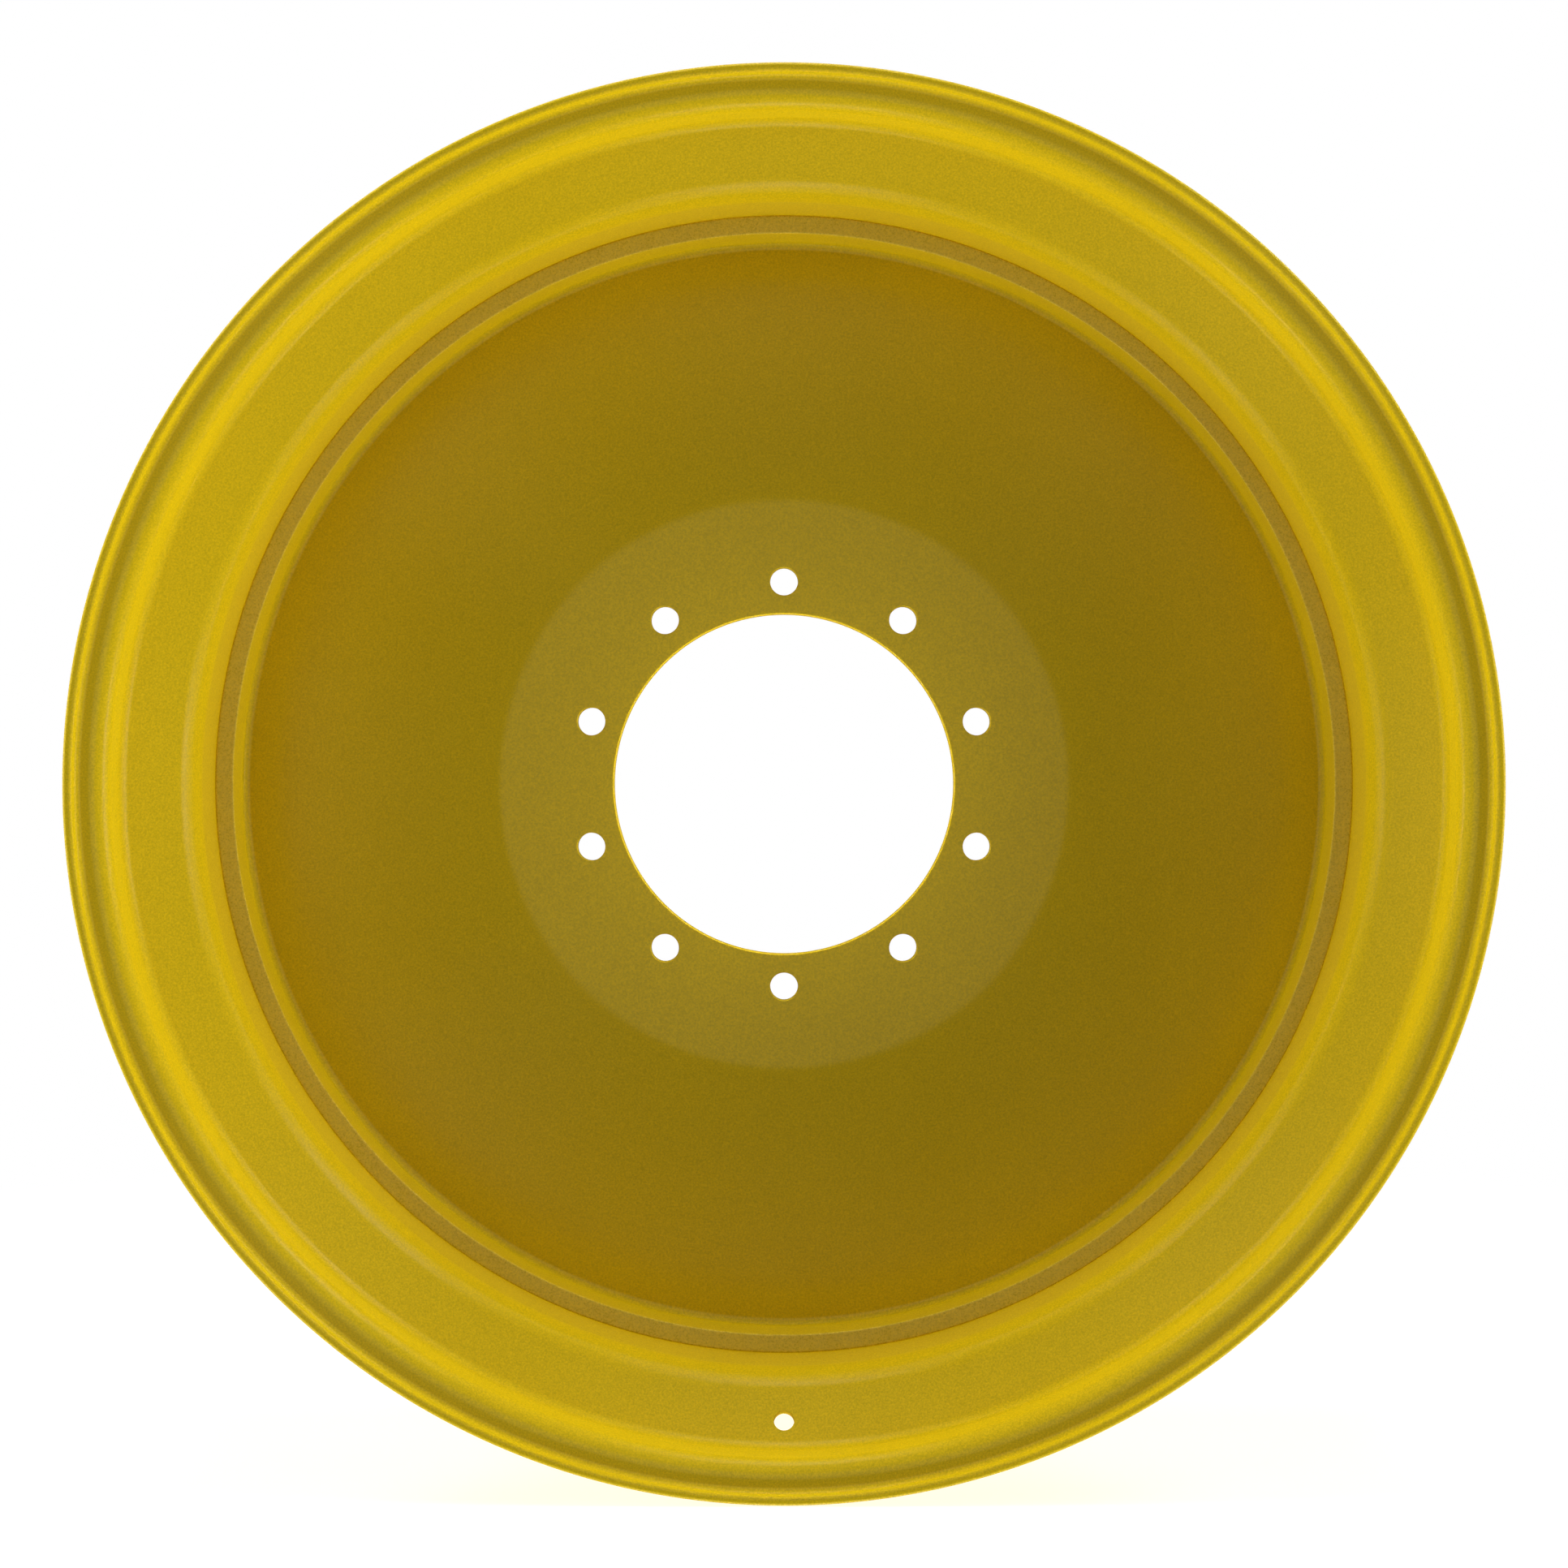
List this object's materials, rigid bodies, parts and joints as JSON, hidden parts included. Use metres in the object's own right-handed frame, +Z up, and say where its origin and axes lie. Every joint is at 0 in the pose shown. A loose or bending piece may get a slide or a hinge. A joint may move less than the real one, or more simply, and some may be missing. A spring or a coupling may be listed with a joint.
{
  "type": "wheel",
  "caption": "Steel disc wheel for a farm machine: drop-centre rim with a dished disc welded inside, a centre bore and a circle of stud holes.",
  "frame": {"origin": "on the wheel's axis, halfway across the rim, in the plane of the mounting face", "axes": "+Y along the spin axis towards the machine, so the outer side faces -Y; +Z up through one stud hole, with the valve hole at -Z; +X to the right seen from the outer side"},
  "size_m": [1.1175, 0.3368, 1.1175],
  "materials": {
    "rim_paint": "semi-gloss yellow powder coat",
    "disc_paint": "semi-gloss yellow powder coat",
    "weld_paint": "yellow powder coat over weld metal"
  },
  "bodies": {
    "root": {"rim_barrel": "rim_paint", "wheel_disc": "disc_paint", "disc_weld": "weld_paint", "rim_seam_weld": "weld_paint"}
  },
  "joints": []
}
